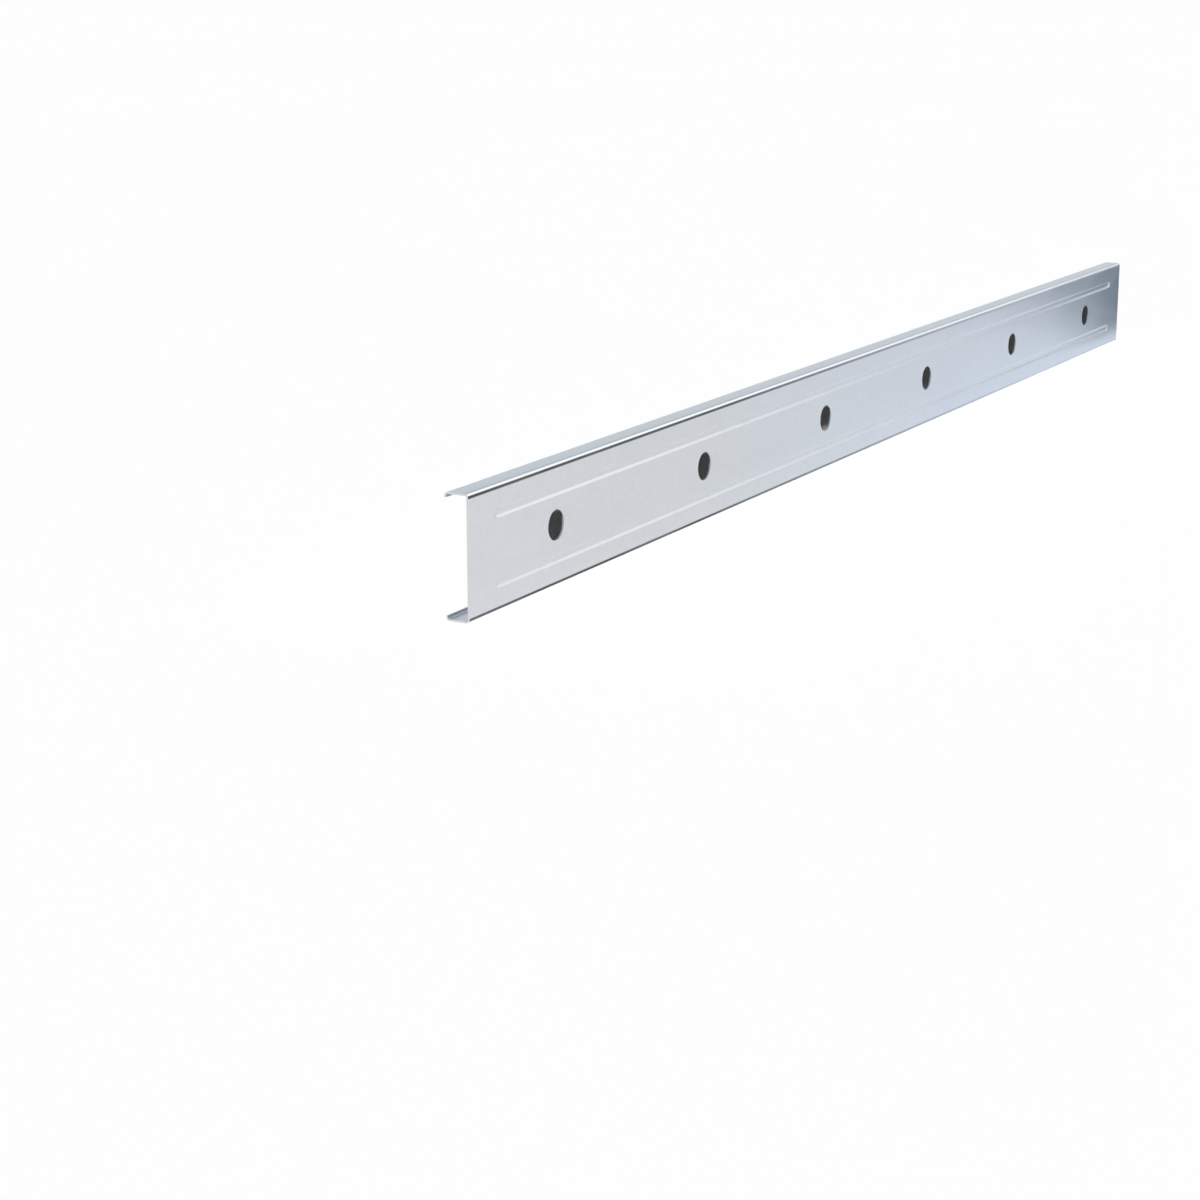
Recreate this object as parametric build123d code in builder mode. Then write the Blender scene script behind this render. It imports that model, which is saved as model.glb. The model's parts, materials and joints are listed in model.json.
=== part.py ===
from build123d import *
import math
import os

# A punched, lipped C-stud, roll-formed from one strip of galvanised steel. Millimetres.
# It stands on its lower flange: X runs along the stud, the flat face of the web looks
# towards -Y, the channel opens towards +Y, and the origin is the middle of the underside.

# Section
length = 2438.4
web_height = 152.4
flange_width = 31.75
lip_height = 6.35
sheet = 2.46
bend_inside = 2.0

# Service holes, on the middle line of the web
hole_diameter = 38.1
hole_pitch = 406.4
hole_end_gap = 150.0  # least distance from a stud end to the middle of a hole

# Stiffening beads, pressed into the web from its flat face, one each side of the holes
bead_width = 12.5
bead_depth = 1.6
bead_slope = 25.0  # degrees between a bead's flank and the web
bead_spacing = 84.0  # between the middle lines of the two
bead_end_gap = 60.0
bead_corner = 4.5
bead_bend_inside = 1.0

# Worked out from the sizes above
bend_outside = bend_inside + sheet
web_middle = web_height / 2
web_outside = -flange_width / 2
web_inside = web_outside + sheet
hole_count = int((length - 2 * hole_end_gap) / hole_pitch) + 1
bead_length = length - 2 * bead_end_gap
bead_taper = 90 - bead_slope
bead_margin = sheet * math.tan(math.radians(bead_slope / 2))  # a bead is this much wider inside
bead_bend_outside = bead_bend_inside + sheet


def bead_outlines(margin):
    """The rounded outlines of both beads, each wider all round by the margin."""
    with Locations((0, web_middle)):
        with GridLocations(0, bead_spacing, 1, 2):
            RectangleRounded(
                bead_length + 2 * margin, bead_width + 2 * margin, bead_corner + margin
            )


def bead_edges(builder, level):
    """The edges of the beads' outlines that lie in the plane Y = level."""
    in_plane = builder.edges().filter_by_position(Axis.Y, level - 0.01, level + 0.01)
    return [
        edge
        for edge in in_plane
        if abs(abs(edge.center().Z - web_middle) - bead_spacing / 2) < bead_width
    ]


with BuildPart() as stud:
    # One strip bent four times: lip, flange, web, flange, lip
    with BuildSketch(Plane.YZ.offset(-length / 2)):
        with BuildLine():
            outside = FilletPolyline(
                (web_outside + flange_width, lip_height),
                (web_outside + flange_width, 0),
                (web_outside, 0),
                (web_outside, web_height),
                (web_outside + flange_width, web_height),
                (web_outside + flange_width, web_height - lip_height),
                radius=bend_outside,
            )
            offset(outside, amount=sheet, side=Side.RIGHT)
        make_face()
    extrude(amount=length)

    # The beads stand proud of the web's inner face
    with BuildSketch(Plane.XZ.offset(-web_inside)):
        bead_outlines(bead_margin)
    extrude(amount=-bead_depth, taper=bead_taper)
    fillet(bead_edges(stud, web_inside + bead_depth), radius=bead_bend_outside)
    fillet(bead_edges(stud, web_inside), radius=bead_bend_inside)

    # and are hollow by as much on its outer face
    with BuildSketch(Plane.XZ.offset(-web_outside)):
        bead_outlines(0)
    extrude(amount=-bead_depth, taper=bead_taper, mode=Mode.SUBTRACT)
    fillet(bead_edges(stud, web_outside + bead_depth), radius=bead_bend_inside)
    fillet(bead_edges(stud, web_outside), radius=bead_bend_outside)

    # Service holes, punched through the web
    with BuildSketch(Plane.XZ.offset(-web_outside)):
        with Locations((0, web_middle)):
            with GridLocations(hole_pitch, 0, hole_count, 1):
                Circle(hole_diameter / 2)
    extrude(amount=-sheet, mode=Mode.SUBTRACT)

stud.part.label = "c_stud"
os.makedirs("parts", exist_ok=True)
export_step(stud.part, "parts/c_stud.step")
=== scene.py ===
"""Rolls a punched, lipped C-stud from its flat strip, galvanises it and sets it in a pale studio."""

import json
import math

import bpy
from bpy.props import FloatProperty, FloatVectorProperty, IntProperty, PointerProperty
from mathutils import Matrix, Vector


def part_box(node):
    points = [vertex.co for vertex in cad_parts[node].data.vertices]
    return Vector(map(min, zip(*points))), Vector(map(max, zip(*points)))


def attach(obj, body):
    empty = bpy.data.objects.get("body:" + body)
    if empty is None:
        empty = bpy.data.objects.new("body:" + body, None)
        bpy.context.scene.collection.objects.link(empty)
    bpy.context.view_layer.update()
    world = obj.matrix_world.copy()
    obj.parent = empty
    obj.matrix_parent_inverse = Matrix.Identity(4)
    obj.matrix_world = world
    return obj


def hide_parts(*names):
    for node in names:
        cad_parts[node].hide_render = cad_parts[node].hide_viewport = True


bl_info = {
    "name": "Lipped C-Stud",
    "version": (1, 0, 0),
    "blender": (4, 5, 0),
    "location": "View3D > Sidebar > C-Stud",
    "description": "Rolls a punched steel stud from its flat strip and lights it in a plain studio",
    "category": "Add Mesh",
}

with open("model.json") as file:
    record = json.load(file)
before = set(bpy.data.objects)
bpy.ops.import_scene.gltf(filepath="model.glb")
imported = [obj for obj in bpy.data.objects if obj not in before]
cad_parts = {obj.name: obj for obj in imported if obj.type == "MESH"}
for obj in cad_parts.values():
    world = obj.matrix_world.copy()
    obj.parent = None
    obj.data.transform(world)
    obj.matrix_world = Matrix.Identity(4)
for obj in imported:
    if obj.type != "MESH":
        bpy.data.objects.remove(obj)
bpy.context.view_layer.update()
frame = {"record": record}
cad_low, cad_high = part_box("c_stud")

mm = 0.001
service_holes = [m for m in frame["record"]["mounts"] if m["kind"] == "bore"]

# The mesh
SEAM_GAP = 0.02 * mm  # vertices nearer than this are one
LONGEST_STEP = 30 * mm  # between two divisions of the flat strip
HOLE_PATCH = 1.4  # side of the square round a hole, in hole diameters
HOLE_STEPS = 16  # divisions along each side of that square
HOLE_RINGS = 2  # of faces, from that square in to the hole
BEND_STEPS = 8  # round each of the four long bends
LIP_STEPS = 5  # round the small bend along a bead's outline
FOOT_STEPS = 4  # round the small bend at the foot of its flank
WEAR_STEPS = 2  # round a worn edge
WORN_TURN = math.radians(60)  # least turn of an edge that is worn round

# The zinc. A grain is the size of a pattern along, across and through the flat strip, in metres,
# and a tone is a share of the zinc's brightness.
CLOUD_GRAIN = (0.30, 0.06, 1.0)
CLOUD_TONE = 0.08
CLOUD_ROUGH = 0.12
BLOTCH_GRAIN = (0.05, 0.05, 0.03)  # along X, Y and Z
BLOTCH_TONE = 0.04
BLOTCH_ROUGH = 0.05
DRAG_GRAIN = (0.9, 0.005, 1.0)  # of the lines that the rolls dragged along it
DRAG_TONE = 0.04
DRAG_ROUGH = 0.06
DRAG_HEIGHT = 0.0015 * mm
WAVE_GRAIN = (0.40, 0.16, 1.0)
WAVE_HEIGHT = 0.25 * mm
CRYSTAL_SIZE = 7 * mm  # of the spangle
SPANGLE_TONE = 0.028
BEND_HIGHLIGHT_TONE = 0.30  # painted highlight: how much brighter the zinc is in the middle of a long bend
ROUGH_ABOVE = 0.02  # the mean roughness, over the least
MOST_ROUGH = 0.6

# Painted shade: dark lines along both sides of each web bend, in place of the dark band that the bends
# reflect
MARK_WIDTH = 3.8 * mm
MARK_SHIFT = 0.3 * mm  # from the start of the bend to the middle of the web's line
MARK_SIDE = (0.6, 1.3)  # where a line's side fades out, in half widths from its middle
MARK_FADE = (-0.5, 0.6)  # where the web's line of painted shade grows weaker towards the far end: X, in half lengths of the stud
WEB_SHADE = 0.86  # how much darker than the zinc the web's line is at the near end
WEB_SHADE_FAR = 0.15  # and at the far one
FLANGE_SHADE = 0.22  # how much darker the flange's line is
BEND_SHADE_GRAIN = (0.12, 0.02, 1.0)
BEND_SHADE_CHANGE = 0.3  # how much a line's strength changes along it
BEND_SHADE_ROUGH = 0.2
MOST_BEND_SHADE = 0.9

# The sheared edges
TEAR_GRAIN = (0.0008, 0.0008, 0.0008)
TEAR_TONE = 0.25
TEAR_ROUGH = 0.2
TEAR_HEIGHT = 0.03 * mm
CUT_ROUGH = 0.38  # the mean roughness
PUNCH_REACH = 0.52  # from a hole's middle to just past its edge, in hole diameters
HOLE_WALL_SHADE = 0.5  # painted shade: how much darker the wall of a hole is

# The studio, in metres. The stud's near end is at -X, and its web looks towards -Y.
WHITE = (1.0, 1.0, 1.0)
FLOOR_SIDE = 60.0
FLOOR_BOUNCE = 0.8  # of the floor's colour, in the light that it throws back
SURROUND_LIGHT = 0.04  # how strongly the white surround lights the floor
KEY_TOWARDS = (-0.8887, -0.3663, 0.2756)  # low, so that the holes show the stud's own shadow
KEY_SHARE = 0.98  # how much of the floor's brightness it gives
KEY_WIDTH = math.radians(4)

# The back wall, which only the metal shows. Its spans are sines of the angle up from the floor
# and back from the stud's line.
WALL_HEIGHT = (0.05, 0.14)
WALL_BEHIND = (0.0, 0.22)
WALL_TINT = (0.77, 0.825, 0.88)

# Painted reflection: the floor's colour as only the metal shows it, white, then a cool white, then
# slate past the stud's far end. An edge is a span of X on the stud's line, and leans towards +X in
# front of it.
EDGE_LEAN = 2.1  # along X for each metre out in front
NEAR_EDGE = (-1.8, -0.9)
NEAR_WHITE = (1.10, 0.99)  # how bright the white is, before the edge and past it
COOL_EDGE = (-0.8, 0.35)
COOL_FRONT = (-0.02, 0.0)  # span of Y in which the cool white ends
COOL_WHITE = (0.885, 0.955, 1.06)
SLATE_EDGE = (0.86, 1.28)
SLATE_FRONT = (-0.10, -0.04)  # span of Y in which the slate ends
SLATE_END = (8.0, 14.0)  # and span of X
SLATE = (0.035, 0.085, 0.155)

# The bright card, which only the metal shows. Out is towards -Y.
CARD_X = 6.0
CARD_Y = (-4.8, 0.5)
CARD_Z = (0.3, 5.0)
CARD_OUT = (1.9, 4.2)  # span in which it grows brighter outwards
CARD_GLOW = (0.62, 1.62)  # and its strengths there
CARD_TOP = (1.4, 2.4)  # span in which it grows brighter upwards
CARD_TOP_GLOW = 0.7  # and by how much
CARD_COOL_OUT = (1.6, 3.2)  # span in which it turns from cool to white, outwards
CARD_COOL = (0.93, 0.97, 1.03)

# Blender's own: the rays that show a thing in the picture, and the Mix node's colour sockets
PICTURE_RAYS = ("Is Camera Ray", "Is Glossy Ray", "Is Transmission Ray")
MIX_LOW = 6
MIX_HIGH = 7
MIX_RESULT = 2


class StudSizes(bpy.types.PropertyGroup):
    """The stud's section, its service holes and its stiffening beads."""

    web_height: FloatProperty(
        name="Web height",
        description="Height of the stud over its two flanges",
        default=cad_high.z - cad_low.z,
        unit="LENGTH",
    )
    flange_width: FloatProperty(
        name="Flange width",
        description="Width of the stud over its web and its lips",
        default=cad_high.y - cad_low.y,
        unit="LENGTH",
    )
    lip_height: FloatProperty(
        name="Lip height",
        description="How far each flange's free edge is turned in",
        default=6.35 * mm,
        unit="LENGTH",
    )
    sheet: FloatProperty(
        name="Sheet",
        description="Thickness of the steel",
        default=service_holes[0]["dims"]["length_mm"] * mm,
        unit="LENGTH",
    )
    bend_inside: FloatProperty(
        name="Inside bend",
        description="Radius inside each of the four long bends",
        default=2 * mm,
        unit="LENGTH",
    )
    hole_diameter: FloatProperty(
        name="Hole diameter",
        description="Diameter of each service hole",
        default=2 * service_holes[0]["dims"]["r_mm"] * mm,
        unit="LENGTH",
    )
    hole_pitch: FloatProperty(
        name="Hole pitch",
        description="Distance from one service hole to the next",
        default=service_holes[1]["pos_m"][0] - service_holes[0]["pos_m"][0],
        unit="LENGTH",
    )
    hole_count: IntProperty(
        name="Holes",
        description="Service holes along the stud, one to each pitch of its length",
        default=len(service_holes),
        min=1,
    )
    bead_width: FloatProperty(
        name="Bead width",
        description="Width of a bead's outline in the flat face of the web",
        default=12.5 * mm,
        unit="LENGTH",
    )
    bead_depth: FloatProperty(
        name="Bead depth",
        description="How far a bead is pressed in",
        default=1.6 * mm,
        unit="LENGTH",
    )
    bead_slope: FloatProperty(
        name="Bead slope",
        description="Angle between a bead's flank and the web",
        default=math.radians(25),
        subtype="ANGLE",
    )
    bead_spacing: FloatProperty(
        name="Bead spacing",
        description="Distance between the middle lines of the two beads",
        default=84 * mm,
        unit="LENGTH",
    )
    bead_end_gap: FloatProperty(
        name="Bead end gap",
        description="Flat web left between a bead and each end of the stud",
        default=60 * mm,
        unit="LENGTH",
    )
    bead_corner: FloatProperty(
        name="Bead corner",
        description="Radius of a bead's corners, seen from the front",
        default=4.5 * mm,
        unit="LENGTH",
    )
    bead_bend_inside: FloatProperty(
        name="Bead bend",
        description="Radius inside the small bends along a bead",
        default=1 * mm,
        unit="LENGTH",
    )
    edge_round: FloatProperty(
        name="Edge round",
        description="How far the sheared edges are worn round",
        default=0.22 * mm,
        unit="LENGTH",
    )


class StudFinish(bpy.types.PropertyGroup):
    """The zinc coating and the sheared edges."""

    zinc: FloatVectorProperty(
        name="Zinc",
        description="Mean colour of the zinc coating",
        subtype="COLOR",
        default=(0.60, 0.62, 0.645),
    )
    cut_steel: FloatVectorProperty(
        name="Cut steel",
        description="Colour of the sheared edges",
        subtype="COLOR",
        default=(0.66, 0.665, 0.67),
    )
    roughness: FloatProperty(
        name="Roughness",
        description="Roughness of the zinc where it is smoothest",
        default=0.29,
        min=0.0,
        max=1.0,
    )


class StudioSettings(bpy.types.PropertyGroup):
    """The floor's colour and the camera."""

    floor_colour: FloatVectorProperty(
        name="Floor",
        description="Colour of the floor",
        subtype="COLOR",
        default=(0.97, 0.97, 0.97),
    )
    camera_place: FloatVectorProperty(
        name="Camera",
        description="Where the camera stands",
        subtype="XYZ",
        unit="LENGTH",
        default=(-3.653, -1.502, 0.762),
    )
    camera_pitch: FloatProperty(
        name="Camera pitch",
        description="How far the camera looks down",
        subtype="ANGLE",
        default=math.radians(14.44),
    )
    camera_heading: FloatProperty(
        name="Camera heading",
        description="How far the camera is turned from the stud's square view towards its length",
        subtype="ANGLE",
        default=math.radians(61.6),
    )
    lens: FloatProperty(
        name="Lens",
        description="Focal length in millimetres on a 36 mm sensor",
        default=77.0,
    )


class NodeWriter:
    """Adds nodes to one tree and links them as it goes."""

    spread = 180  # from one node to the next, in the node editor
    rows = 12

    def __init__(self, tree):
        self.tree = tree

    def add(self, kind, inputs=None, **settings):
        """A new node; inputs holds a number, a colour, a socket or a Term for each input named."""
        node = self.tree.nodes.new(kind)
        place = len(self.tree.nodes)
        node.location = (self.spread * (place // self.rows), -self.spread * (place % self.rows))
        for name, value in settings.items():
            setattr(node, name, value)
        for name, value in (inputs or {}).items():
            if isinstance(value, Term):
                value = value.socket
            if isinstance(value, bpy.types.NodeSocket):
                self.tree.links.new(value, node.inputs[name])
            else:
                node.inputs[name].default_value = value
        return node

    def term(self, kind, inputs=None, output=0, **settings):
        """The same as add, and gives one output as a Term."""
        return Term(self, self.add(kind, inputs, **settings).outputs[output])

    def axes(self, vector):
        """A vector's X, Y and Z, as Terms."""
        return [Term(self, part) for part in self.add("ShaderNodeSeparateXYZ", {0: vector}).outputs]

    def vector(self, **parts):
        """A vector of the parts named X, Y and Z, with 0 for the rest."""
        return self.add("ShaderNodeCombineXYZ", parts).outputs[0]


class Term:
    """A number in a node tree. Arithmetic on it adds Math nodes."""

    def __init__(self, writer, socket):
        self.writer = writer
        self.socket = socket

    def math(self, operation, *others):
        values = dict(enumerate((self, *others)))
        return self.writer.term("ShaderNodeMath", values, operation=operation)

    def __add__(self, other):
        return self.math("ADD", other)

    def __sub__(self, other):
        return self.math("SUBTRACT", other)

    def __mul__(self, other):
        return self.math("MULTIPLY", other)

    def __truediv__(self, other):
        return self.math("DIVIDE", other)

    def __neg__(self):
        return self * -1.0

    def clamp(self, low, high):
        return self.math("MAXIMUM", low).math("MINIMUM", high)

    def ramp(self, from_low, from_high, to_low=0.0, to_high=1.0):
        """This number's span from_low to from_high, laid on to_low to to_high and held there."""
        spans = {0: self, 1: from_low, 2: from_high, 3: to_low, 4: to_high}
        return self.writer.term("ShaderNodeMapRange", spans)


def start_tree(tree, inputs, output):
    """Gives a geometry tree its named inputs and its output; returns its writer, inputs and end."""
    for name, kind in inputs:
        tree.interface.new_socket(name, in_out="INPUT", socket_type=kind)
    tree.interface.new_socket(output, in_out="OUTPUT", socket_type="NodeSocketGeometry")
    writer = NodeWriter(tree)
    start = writer.add("NodeGroupInput")
    end = writer.add("NodeGroupOutput")
    given = {name: Term(writer, start.outputs[name]) for name, kind in inputs}
    return writer, given, end


def bead_press(given, along, across):
    """How deep the web is pressed in at a place on the strip, and how the sheet leans there.

    A bead's side is two small bends with a flank between. The lean is the sine of the sheet's
    tilt, in parts along and across the strip, and the tilt's cosine comes last.
    """
    slope = given["Bead slope"]
    length = given["Holes"] * given["Hole pitch"]
    corner = given["Bead corner"]
    half_length = length / 2 - given["Bead end gap"] - corner
    half_width = given["Bead width"] / 2 - corner
    past_end = along - half_length
    off_middle = across - given["Bead spacing"] / 2
    past_side = off_middle.math("ABSOLUTE") - half_width
    corner_along = past_end.math("MAXIMUM", 0.0)
    corner_across = past_side.math("MAXIMUM", 0.0)
    round_the_corner = (corner_along * corner_along + corner_across * corner_across).math("SQRT")
    inside = past_end.math("MAXIMUM", past_side).math("MINIMUM", 0.0)
    inward = corner - round_the_corner - inside

    lip_radius = given["Bead bend"] + given["Sheet"]
    foot_radius = given["Bead bend"]
    half_turn = (slope / 2).math("TANGENT")
    sine = slope.math("SINE")
    lip_reach = lip_radius * half_turn
    lip_run = lip_radius * sine
    foot_end = given["Bead depth"] / slope.math("TANGENT") + foot_radius * half_turn
    foot_run = foot_radius * sine
    flank_run = foot_end - foot_run + lip_reach - lip_run

    def arc(radius, run):
        return (radius * radius - run * run).math("SQRT")

    from_lip = (inward + lip_reach).clamp(0.0, lip_run)
    to_foot = (foot_end - inward).clamp(0.0, foot_run)
    on_flank = (inward + lip_reach - lip_run).clamp(0.0, flank_run)
    round_lip = lip_radius - arc(lip_radius, from_lip)
    round_foot = arc(foot_radius, to_foot) - arc(foot_radius, foot_run)
    depth = round_lip + on_flank * slope.math("TANGENT") + round_foot

    lean = (from_lip / lip_radius).math("MINIMUM", to_foot / foot_radius)
    lean_along = lean * corner_along / round_the_corner
    lean_across = lean * corner_across / round_the_corner * off_middle.math("SIGN")
    upright = (-(lean * lean) + 1.0).math("SQRT")
    return depth, lean_along, lean_across, upright


def merged(write, mesh):
    """The mesh with the vertices along its seams joined."""
    inputs = {"Geometry": mesh, "Distance": SEAM_GAP}
    return write.add("GeometryNodeMergeByDistance", inputs).outputs[0]


def repeat_strip(write, given):
    """One pitch of the flat strip, repeated along X for each hole and joined up."""
    pitch = given["Hole pitch"]
    first = write.vector(X=(given["Holes"] - 1) * pitch * -0.5)
    places = write.add(
        "GeometryNodeMeshLine",
        {"Count": given["Holes"], "Start Location": first, "Offset": write.vector(X=pitch)},
        mode="OFFSET",
    )
    repeated = write.add(
        "GeometryNodeInstanceOnPoints",
        {"Points": places.outputs[0], "Instance": given["Strip"]},
    )
    pitches = write.add("GeometryNodeRealizeInstances", {0: repeated.outputs[0]})
    return merged(write, pitches.outputs[0])


def stored(write, mesh, name, value, kind):
    """The mesh with a value kept at each vertex, for the materials."""
    inputs = {"Geometry": mesh, "Name": name, "Value": value}
    store = write.add("GeometryNodeStoreNamedAttribute", inputs, data_type=kind, domain="POINT")
    return store.outputs[0]


def roll(write, given, place):
    """Where a place in the flat strip lies in the section, and how near it is to the middle of a bend,
    for the painted highlight there.
    """
    x, across, z = write.axes(place)
    side = across.math("SIGN")
    out = across.math("ABSOLUTE")
    radius = given["Inside bend"] + given["Sheet"]
    quarter = radius * (math.pi / 2)
    half_web = given["Web height"] / 2 - radius
    flange = given["Flange width"] - radius * 2
    web_bend = (out - half_web).clamp(0.0, quarter) / radius
    on_flange = (out - half_web - quarter).clamp(0.0, flange)
    lip_bend = (out - half_web - quarter - flange).clamp(0.0, quarter) / radius
    on_lip = (out - half_web - quarter * 2 - flange).math("MAXIMUM", 0.0)

    def rise(bend):
        return radius - radius * bend.math("COSINE")

    back = rise(web_bend) + on_flange + radius * lip_bend.math("SINE")
    up = out.math("MINIMUM", half_web) + radius * web_bend.math("SINE") - rise(lip_bend) - on_lip
    pressed, lean_along, lean_across, upright = bead_press(given, x.math("ABSOLUTE"), out)
    turn = web_bend + lip_bend
    depth = -z
    back = back + pressed + depth * turn.math("COSINE") * upright
    up = up + depth * (lean_across - turn.math("SINE"))
    rolled = write.vector(
        X=x + depth * lean_along * x.math("SIGN"),
        Y=back - given["Flange width"] / 2,
        Z=given["Web height"] / 2 + side * up,
    )
    # Painted highlight: the zinc is made brighter down the middle of each long bend.
    bend_highlight = (web_bend * 2).math("SINE") + (lip_bend * 2).math("SINE")
    return rolled, bend_highlight


def rolling_tree():
    """Geometry nodes: one pitch of strip is repeated, given its thickness and rolled to the section."""
    size = "NodeSocketFloat"
    tree = bpy.data.node_groups.new("Roll-formed stud", "GeometryNodeTree")
    write, given, end = start_tree(
        tree,
        [("Strip", "NodeSocketGeometry"), ("Holes", "NodeSocketInt")]
        + [(name, size) for name in ("Hole pitch", "Web height", "Flange width", "Sheet")]
        + [(name, size) for name in ("Inside bend", "Bead width", "Bead depth", "Bead slope")]
        + [(name, size) for name in ("Bead spacing", "Bead end gap", "Bead corner", "Bead bend")]
        + [(name, "NodeSocketMaterial") for name in ("Zinc", "Cut steel")],
        "Stud",
    )
    place = write.add("GeometryNodeInputPosition").outputs[0]
    rolled, bend_highlight = roll(write, given, place)
    outer = stored(write, repeat_strip(write, given), "strip", place, "FLOAT_VECTOR")
    outer = stored(write, outer, "bend_highlight", bend_highlight, "FLOAT")

    inner = write.add(
        "GeometryNodeExtrudeMesh",
        {"Mesh": outer, "Offset": write.vector(Z=-given["Sheet"]), "Individual": False},
    )
    turned = write.add("GeometryNodeFlipFaces", {"Mesh": inner.outputs["Mesh"]})
    both = write.add("GeometryNodeJoinGeometry")
    tree.links.new(outer, both.inputs[0])
    tree.links.new(turned.outputs[0], both.inputs[0])
    section = write.add(
        "GeometryNodeSetPosition",
        {"Geometry": merged(write, both.outputs[0]), "Position": rolled},
    )
    smooth = write.add("GeometryNodeSetShadeSmooth", {"Geometry": section.outputs[0]})
    plain = write.add("GeometryNodeRealizeInstances", {0: smooth.outputs[0]})
    coated = write.add(
        "GeometryNodeSetMaterial", {"Geometry": plain.outputs[0], "Material": given["Zinc"]}
    )
    finished = write.add(
        "GeometryNodeSetMaterial",
        {
            "Geometry": coated.outputs[0],
            "Selection": inner.outputs["Side"],
            "Material": given["Cut steel"],
        },
    )
    tree.links.new(finished.outputs[0], end.inputs[0])
    return tree


def between(low, high, count):
    """Count equal steps from low to high, with both ends."""
    return [low + (high - low) * step / count for step in range(count + 1)]


def hole_stations(half_side):
    """Places along one side of the square round a hole, evenly spread as seen from its middle."""
    eighth = math.pi / 4
    return [half_side * math.tan(turn) for turn in between(-eighth, eighth, HOLE_STEPS)]


def flank_stations(sizes):
    """Distances in from a bead's outline at which its flank needs a vertex."""
    half_turn = math.tan(sizes.bead_slope / 2)
    sine = math.sin(sizes.bead_slope)
    lip = sizes.bead_bend_inside + sizes.sheet
    foot = sizes.bead_bend_inside
    lip_start = -lip * half_turn
    foot_end = sizes.bead_depth / math.tan(sizes.bead_slope) + foot * half_turn
    round_lip = between(lip_start, lip_start + lip * sine, LIP_STEPS)
    round_foot = between(foot_end - foot * sine, foot_end, FOOT_STEPS)
    return round_lip + round_foot


def strip_stations(sizes):
    """Where one pitch of the flat strip is divided, along it and across it."""
    half_hole = hole_stations(HOLE_PATCH * sizes.hole_diameter / 2)
    inward = flank_stations(sizes) + [sizes.bead_corner]
    half_pitch = sizes.hole_pitch / 2
    bead_end = half_pitch - sizes.bead_end_gap
    ends = [bead_end - depth for depth in inward] + [half_pitch]
    along = half_hole + [side * x for side in (-1, 1) for x in ends]

    radius = sizes.bend_inside + sizes.sheet
    quarter = radius * math.pi / 2
    half_web = sizes.web_height / 2 - radius
    flange_start = half_web + quarter
    flange_end = flange_start + sizes.flange_width - 2 * radius
    lip_start = flange_end + quarter
    middle, half_width = sizes.bead_spacing / 2, sizes.bead_width / 2
    out = [middle - half_width + depth for depth in inward]
    out += [middle + half_width - depth for depth in inward]
    out += between(half_web, flange_start, BEND_STEPS)
    out += between(flange_end, lip_start, BEND_STEPS)
    out += [lip_start + sizes.lip_height - radius]
    across = half_hole + [side * v for side in (-1, 1) for v in out]
    return along, across


def in_order(stations, least, most):
    """The stations sorted, with near doubles dropped and wide gaps divided."""
    kept = []
    for station in sorted(stations):
        if kept and station - kept[-1] < least:
            continue
        if kept and station - kept[-1] > most:
            steps = math.ceil((station - kept[-1]) / most)
            kept += between(kept[-1], station, steps)[1:-1]
        kept.append(station)
    return kept


def punched_strip(sizes):
    """A mesh of one pitch of the flat strip, with its service hole in the middle."""
    along, across = strip_stations(sizes)
    along = in_order(along, SEAM_GAP * 2, LONGEST_STEP)
    across = in_order(across, SEAM_GAP * 2, LONGEST_STEP)
    half_side = HOLE_PATCH * sizes.hole_diameter / 2 - SEAM_GAP
    corners, index, faces = [], {}, []

    def corner(x, v):
        key = (round(x / SEAM_GAP), round(v / SEAM_GAP))
        if key not in index:
            index[key] = len(corners)
            corners.append((x, v, 0.0))
        return index[key]

    # All of the strip but the square round the hole
    for x0, x1 in zip(along, along[1:]):
        for v0, v1 in zip(across, across[1:]):
            if max(abs(x0 + x1), abs(v0 + v1)) / 2 > half_side:
                faces.append([corner(x0, v0), corner(x1, v0), corner(x1, v1), corner(x0, v1)])

    # That square, in rings that pass from its sides to the hole's circle
    side = hole_stations(HOLE_PATCH * sizes.hole_diameter / 2)
    half = side[-1]
    square = [(half, v) for v in side[:-1]] + [(-x, half) for x in side[:-1]]
    square += [(-half, -v) for v in side[:-1]] + [(x, -half) for x in side[:-1]]
    rings = []
    for share in between(0, 1, HOLE_RINGS):
        ring = []
        for x, v in square:
            inward = 1 + share * (sizes.hole_diameter / 2 / math.hypot(x, v) - 1)
            ring.append(corner(x * inward, v * inward))
        rings.append(ring)
    for outer, inner in zip(rings, rings[1:]):
        for here in range(len(square)):
            after = (here + 1) % len(square)
            faces.append([outer[here], outer[after], inner[after], inner[here]])

    mesh = bpy.data.meshes.new("punched_strip")
    mesh.from_pydata(corners, [], faces)
    return mesh


def empty_tree(block):
    """Gives a material or a world an empty node tree; returns the tree's writer."""
    block.use_nodes = True
    block.node_tree.nodes.clear()
    return NodeWriter(block.node_tree)


def add_metal(write, colour, roughness, height):
    """The shader of a bare metal whose surface stands this much proud, in metres."""
    bump = write.add("ShaderNodeBump", {"Strength": 1.0, "Distance": 1.0, "Height": height})
    shader = write.add(
        "ShaderNodeBsdfPrincipled",
        {
            "Metallic": 1.0,
            "Base Color": colour,
            "Roughness": roughness,
            "Normal": bump.outputs[0],
        },
    )
    write.add("ShaderNodeOutputMaterial", {"Surface": shader.outputs[0]})


def scaled(write, colour, share):
    """A colour times this share."""
    inputs = {0: tuple(colour), "Scale": share}
    return write.add("ShaderNodeVectorMath", inputs, operation="SCALE").outputs[0]


def stretched_noise(write, place, grain, detail, distortion=0.0):
    """Noise whose grain measures this much along each axis, as a Term about zero."""
    stretched = write.add(
        "ShaderNodeMapping", {"Vector": place, "Scale": [1 / size for size in grain]}
    )
    noise = write.term(
        "ShaderNodeTexNoise",
        {"Vector": stretched.outputs[0], "Scale": 1.0, "Detail": detail, "Distortion": distortion},
    )
    return noise - 0.5


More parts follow.
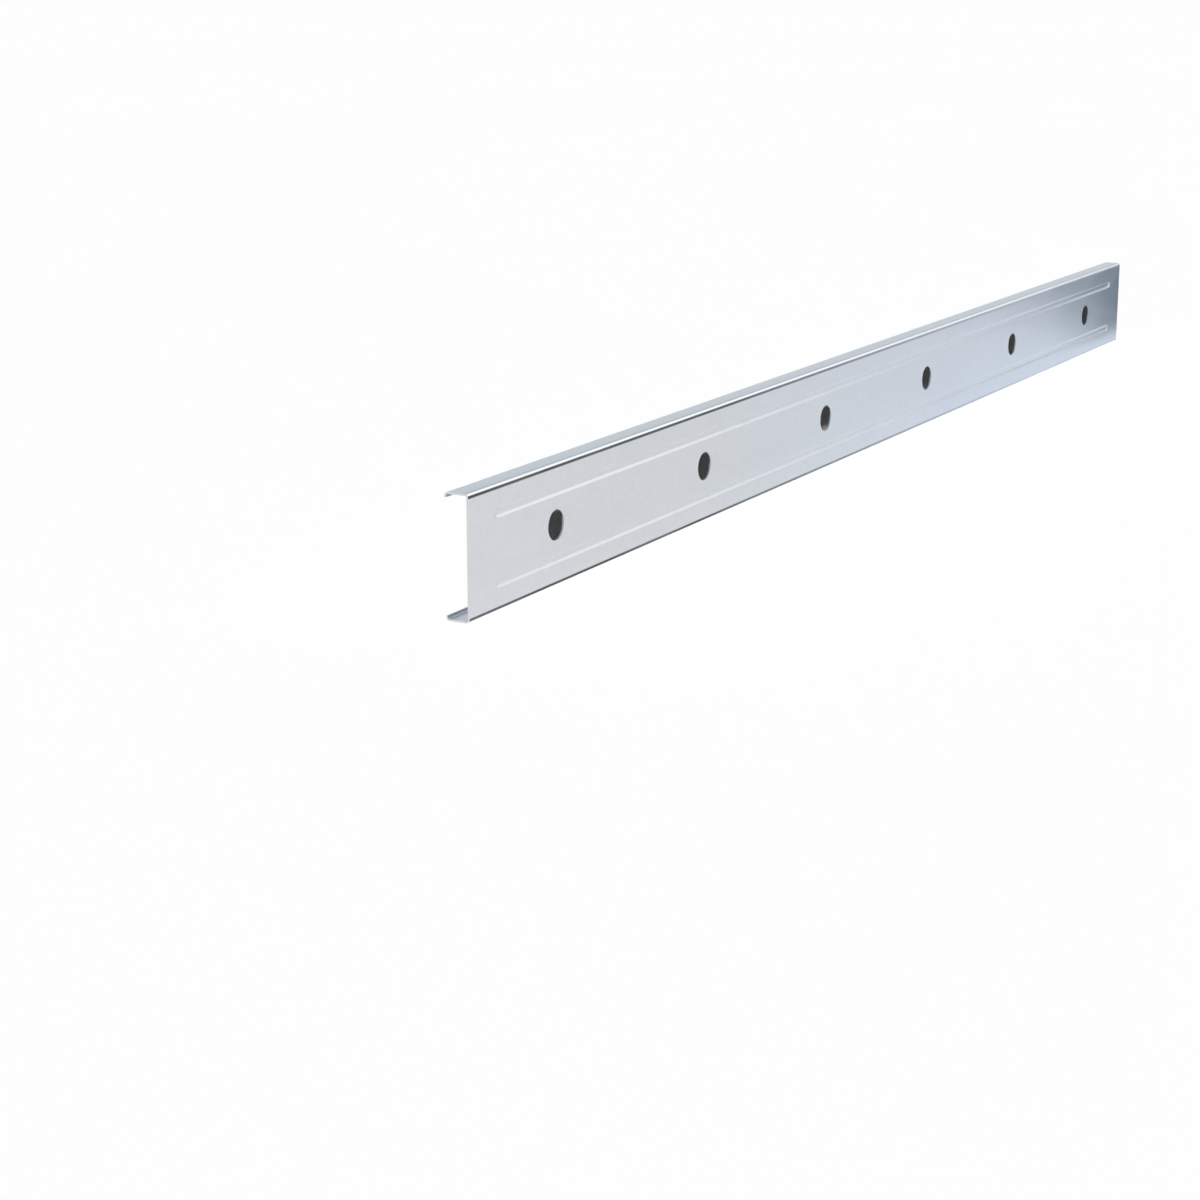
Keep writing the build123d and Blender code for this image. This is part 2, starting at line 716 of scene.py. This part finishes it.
def painted_bend_shade(write, strip, sizes):
    """Painted shade: how dark the lines along both sides of each web bend are, in place of the dark
    band that the bends reflect.
    """
    x, across, _ = write.axes(strip)
    along = x / cad_high.x
    out = across.math("ABSOLUTE")
    radius = sizes.bend_inside + sizes.sheet
    bend_start = sizes.web_height / 2 - radius
    bend_end = bend_start + radius * math.pi / 2
    uneven = stretched_noise(write, strip, BEND_SHADE_GRAIN, detail=3.0) * BEND_SHADE_CHANGE + 1.0
    fading = along.ramp(*MARK_FADE, WEB_SHADE, WEB_SHADE_FAR)

    def mark(middle, strength):
        away = (out - middle).math("ABSOLUTE") / (MARK_WIDTH / 2)
        return away.ramp(*MARK_SIDE, 1.0, 0.0) * strength

    # The web's line is painted shade, darkest at the near end and fading towards the far end.
    web_side = mark(bend_start + MARK_SHIFT, fading)
    flange_side = mark(bend_end, FLANGE_SHADE)
    return ((web_side + flange_side) * uneven).clamp(0.0, MOST_BEND_SHADE)


def zinc_coating(finish, sizes):
    """Hot-dip zinc: faint crystals, cloudy patches and drag lines that the rolls left, with a painted
    highlight down the middle of each bend and painted shade lines beside the web bends.
    """
    material = bpy.data.materials.new("zinc_coating")
    write = empty_tree(material)
    strip = write.add("ShaderNodeAttribute", attribute_name="strip").outputs["Vector"]
    bend_highlight = write.term("ShaderNodeAttribute", output="Fac", attribute_name="bend_highlight")
    body = write.add("ShaderNodeTexCoord").outputs["Object"]

    clouds = stretched_noise(write, strip, CLOUD_GRAIN, detail=3.0, distortion=0.5)
    blotches = stretched_noise(write, body, BLOTCH_GRAIN, detail=2.0, distortion=0.8)
    drag = stretched_noise(write, strip, DRAG_GRAIN, detail=2.0)
    waves = stretched_noise(write, strip, WAVE_GRAIN, detail=1.0)
    crystals = write.add(
        "ShaderNodeTexVoronoi", {"Vector": body, "Scale": 1 / CRYSTAL_SIZE, "Randomness": 1.0}
    )
    shades = write.add("ShaderNodeSeparateColor", {0: crystals.outputs["Color"]})
    spangle = Term(write, shades.outputs[0]) - 0.5
    # Painted shade: dark lines beside the web bends, in place of the dark band that they reflect.
    bend_shade = painted_bend_shade(write, strip, sizes)

    # The tone is made brighter down the middle of each bend: a painted highlight.
    tone = clouds * CLOUD_TONE + blotches * BLOTCH_TONE + drag * DRAG_TONE
    tone = tone + spangle * SPANGLE_TONE + bend_highlight * BEND_HIGHLIGHT_TONE + 1.0
    colour = scaled(write, finish.zinc, tone * (-bend_shade + 1.0))
    rough = clouds * CLOUD_ROUGH + blotches * BLOTCH_ROUGH + drag * DRAG_ROUGH
    rough = rough + bend_shade * BEND_SHADE_ROUGH + finish.roughness + ROUGH_ABOVE
    height = waves * WAVE_HEIGHT + drag * DRAG_HEIGHT
    add_metal(write, colour, rough.clamp(finish.roughness, MOST_ROUGH), height)
    return material


def sheared_edge(finish, sizes):
    """Bare bright steel, torn into fine lines by the shear, with painted shade darkening the walls of
    the holes.
    """
    material = bpy.data.materials.new("sheared_edge")
    write = empty_tree(material)
    strip = write.add("ShaderNodeAttribute", attribute_name="strip").outputs["Vector"]
    x, across, _ = write.axes(strip)
    near_holes = across.math("ABSOLUTE").math("LESS_THAN", sizes.hole_diameter * PUNCH_REACH)
    off_ends = x.math("ABSOLUTE").math("LESS_THAN", cad_high.x - sizes.sheet)
    # Painted shade: the walls of the holes are made darker.
    hole_wall_shade = near_holes * off_ends
    body = write.add("ShaderNodeTexCoord").outputs["Object"]
    tear = stretched_noise(write, body, TEAR_GRAIN, detail=4.0)
    tone = (tear * TEAR_TONE + 1.0) * (hole_wall_shade * -HOLE_WALL_SHADE + 1.0)
    colour = scaled(write, finish.cut_steel, tone)
    add_metal(write, colour, tear * TEAR_ROUGH + CUT_ROUGH, tear * TEAR_HEIGHT)
    return material


def set_input(modifier, name, value):
    """Sets a Geometry Nodes input by its name, through its socket's identifier."""
    sockets = modifier.node_group.interface.items_tree
    socket = next(s for s in sockets if s.name == name and s.in_out == "INPUT")
    modifier[socket.identifier] = value


class STUD_OT_c_stud(bpy.types.Operator):
    """Roll the punched, lipped C-stud from its flat strip"""

    bl_idname = "stud.c_stud"
    bl_label = "C-Stud"
    bl_options = {"REGISTER", "UNDO"}

    def execute(self, context):
        sizes = context.scene.stud_sizes
        finish = context.scene.stud_finish
        stud = bpy.data.objects.new("c_stud_rolled", punched_strip(sizes))
        context.scene.collection.objects.link(stud)

        rolling = stud.modifiers.new("Roll forming", "NODES")
        rolling.node_group = rolling_tree()
        rolled = {
            "Holes": sizes.hole_count,
            "Hole pitch": sizes.hole_pitch,
            "Web height": sizes.web_height,
            "Flange width": sizes.flange_width,
            "Sheet": sizes.sheet,
            "Inside bend": sizes.bend_inside,
            "Bead width": sizes.bead_width,
            "Bead depth": sizes.bead_depth,
            "Bead slope": sizes.bead_slope,
            "Bead spacing": sizes.bead_spacing,
            "Bead end gap": sizes.bead_end_gap,
            "Bead corner": sizes.bead_corner,
            "Bead bend": sizes.bead_bend_inside,
            "Zinc": zinc_coating(finish, sizes),
            "Cut steel": sheared_edge(finish, sizes),
        }
        for name, value in rolled.items():
            set_input(rolling, name, value)
        worn = stud.modifiers.new("Worn edges", "BEVEL")
        worn.width = sizes.edge_round
        worn.segments = WEAR_STEPS
        worn.limit_method = "ANGLE"
        worn.angle_limit = WORN_TURN
        worn.harden_normals = True

        context.view_layer.update()
        graph = context.evaluated_depsgraph_get()
        mesh = bpy.data.meshes.new_from_object(
            stud.evaluated_get(graph), preserve_all_data_layers=True, depsgraph=graph
        )
        if not mesh.polygons:
            raise RuntimeError("The strip didn't roll into a stud")
        mesh.name = stud.name
        if mesh.materials[0] is None:
            mesh.materials.pop(index=0)
        stud.modifiers.clear()
        stud.data = mesh
        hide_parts("c_stud")
        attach(stud, "root")
        return {"FINISHED"}


def shown_to(write, *rays):
    """1 for the kinds of ray named, and 0 for the rest."""
    path = write.add("ShaderNodeLightPath").outputs
    shown = Term(write, path[rays[0]])
    for ray in rays[1:]:
        shown = shown.math("MAXIMUM", path[ray])
    return shown


def flat_quad(scene, name, corners):
    """A piece of the studio with one face."""
    mesh = bpy.data.meshes.new(name)
    mesh.from_pydata(corners, [], [[0, 1, 2, 3]])
    quad = bpy.data.objects.new(name, mesh)
    scene.collection.objects.link(quad)
    return quad


def mixed(write, share, low, high):
    """A colour between two others; each is a colour or a socket."""
    mix = write.add("ShaderNodeMix", {0: share}, data_type="RGBA")
    for socket, colour in ((mix.inputs[MIX_LOW], low), (mix.inputs[MIX_HIGH], high)):
        if isinstance(colour, bpy.types.NodeSocket):
            write.tree.links.new(colour, socket)
        else:
            socket.default_value = (*colour, 1.0)
    return mix.outputs[MIX_RESULT]


def make_floor(scene, settings):
    """A wide pale floor, with a painted reflection: the metal shows it white at the near end, then
    cooler, then slate.
    """
    half = FLOOR_SIDE / 2
    corners = [(-half, -half, 0), (half, -half, 0), (half, half, 0), (-half, half, 0)]
    floor = flat_quad(scene, "studio_floor", corners)
    material = bpy.data.materials.new("studio_floor")
    write = empty_tree(material)
    body = write.add("ShaderNodeTexCoord").outputs["Object"]
    x, y, _ = write.axes(body)
    edge = x + y * EDGE_LEAN
    cool = edge.ramp(*COOL_EDGE) * y.ramp(*COOL_FRONT, 1.0, 0.0)
    slate = edge.ramp(*SLATE_EDGE) * x.ramp(*SLATE_END, 1.0, 0.0) * y.ramp(*SLATE_FRONT, 1.0, 0.0)
    near = edge.ramp(*NEAR_EDGE, *NEAR_WHITE)
    white = write.vector(X=near, Y=near, Z=near)
    # Painted reflection: these tints reach only the metal's reflections, not the camera.
    tint = mixed(write, slate, mixed(write, cool, white, COOL_WHITE), SLATE)
    mirrored = mixed(write, shown_to(write, "Is Glossy Ray"), WHITE, tint)
    shown = shown_to(write, *PICTURE_RAYS)
    plain = scaled(write, settings.floor_colour, shown.ramp(0.0, 1.0, FLOOR_BOUNCE, 1.0))
    colour = write.add("ShaderNodeVectorMath", {0: plain, 1: mirrored}, operation="MULTIPLY")
    paint = write.add("ShaderNodeBsdfDiffuse", {"Color": colour.outputs[0]})
    write.add("ShaderNodeOutputMaterial", {"Surface": paint.outputs[0]})
    floor.data.materials.append(material)


def make_card(scene):
    """A glowing card past the stud's far end, which only the metal's reflections show.

    It is dimmer and cooler towards the stud's line, and brighter away from it and at the top.
    """
    (right, left), (low, high) = CARD_Y, CARD_Z
    places = [(right, low), (left, low), (left, high), (right, high)]
    card = flat_quad(scene, "bright_card", [(CARD_X, y, z) for y, z in places])
    card.visible_camera = False
    card.visible_diffuse = False
    card.visible_shadow = False
    card.visible_transmission = False
    material = bpy.data.materials.new("bright_card")
    write = empty_tree(material)
    body = write.add("ShaderNodeTexCoord").outputs["Object"]
    _, y, z = write.axes(body)
    out = -y
    strength = out.ramp(*CARD_OUT, *CARD_GLOW) + z.ramp(*CARD_TOP, 0.0, CARD_TOP_GLOW)
    colour = mixed(write, out.ramp(*CARD_COOL_OUT), CARD_COOL, WHITE)
    glow = write.add("ShaderNodeEmission", {"Color": colour, "Strength": strength})
    write.add("ShaderNodeOutputMaterial", {"Surface": glow.outputs[0]})
    card.data.materials.append(material)


def make_world(scene):
    """A white surround, which lights the floor weakly. In the metal it has a cool back wall."""
    world = bpy.data.worlds.new("studio")
    write = empty_tree(world)
    way = write.add("ShaderNodeTexCoord").outputs["Generated"]
    _, y, z = write.axes(way)
    wall = z.ramp(*WALL_HEIGHT) * y.ramp(*WALL_BEHIND)
    colour = mixed(write, wall * shown_to(write, "Is Glossy Ray"), WHITE, WALL_TINT)
    shown = shown_to(write, *PICTURE_RAYS)
    bounces = write.term("ShaderNodeLightPath", output="Diffuse Depth")
    shown = shown * bounces.ramp(0.0, 1.0, 1.0, 0.0)
    background = write.add(
        "ShaderNodeBackground",
        {"Color": colour, "Strength": shown.ramp(0.0, 1.0, SURROUND_LIGHT, 1.0)},
    )
    write.add("ShaderNodeOutputWorld", {"Surface": background.outputs[0]})
    scene.world = world


def make_key(scene):
    """A low, soft light from the near end, even over the whole floor."""
    data = bpy.data.lights.new("low_key", "SUN")
    towards = Vector(KEY_TOWARDS).normalized()
    data.energy = KEY_SHARE * math.pi / towards.z
    data.angle = KEY_WIDTH
    lamp = bpy.data.objects.new("low_key", data)
    lamp.rotation_euler = towards.to_track_quat("Z", "Y").to_euler()
    lamp.visible_camera = False
    lamp.visible_glossy = False
    scene.collection.objects.link(lamp)


def make_camera(scene, settings):
    """A camera at the picture's viewing angle."""
    data = bpy.data.cameras.new("camera")
    data.lens = settings.lens
    camera = bpy.data.objects.new("camera", data)
    camera.location = settings.camera_place
    camera.rotation_euler = (math.pi / 2 - settings.camera_pitch, 0, -settings.camera_heading)
    scene.collection.objects.link(camera)
    scene.camera = camera


class STUD_OT_studio(bpy.types.Operator):
    """Make the pale floor, the surround, the light, the bright card and the camera"""

    bl_idname = "stud.studio"
    bl_label = "Studio"
    bl_options = {"REGISTER", "UNDO"}

    def execute(self, context):
        scene = context.scene
        settings = scene.stud_studio
        make_floor(scene, settings)
        make_world(scene)
        make_key(scene)
        make_card(scene)
        make_camera(scene, settings)
        scene.view_settings.view_transform = "Standard"
        return {"FINISHED"}


class STUD_PT_panel(bpy.types.Panel):
    """The stud and its studio, with their sizes and colours"""

    bl_idname = "STUD_PT_panel"
    bl_label = "C-Stud"
    bl_space_type = "VIEW_3D"
    bl_region_type = "UI"
    bl_category = "C-Stud"

    def draw(self, context):
        groups = [
            (STUD_OT_c_stud, (context.scene.stud_sizes, context.scene.stud_finish)),
            (STUD_OT_studio, (context.scene.stud_studio,)),
        ]
        for operator, settings in groups:
            box = self.layout.box()
            for group in settings:
                for name in group.__annotations__:
                    box.prop(group, name)
            box.operator(operator.bl_idname)


classes = (
    StudSizes,
    StudFinish,
    StudioSettings,
    STUD_OT_c_stud,
    STUD_OT_studio,
    STUD_PT_panel,
)


def register():
    for cls in classes:
        bpy.utils.register_class(cls)
    bpy.types.Scene.stud_sizes = PointerProperty(type=StudSizes)
    bpy.types.Scene.stud_finish = PointerProperty(type=StudFinish)
    bpy.types.Scene.stud_studio = PointerProperty(type=StudioSettings)


def unregister():
    del bpy.types.Scene.stud_studio
    del bpy.types.Scene.stud_finish
    del bpy.types.Scene.stud_sizes
    for cls in reversed(classes):
        bpy.utils.unregister_class(cls)


def main():
    """Makes the stud and its studio."""
    register()
    bpy.ops.stud.c_stud()
    bpy.ops.stud.studio()


if __name__ == "__main__":
    main()
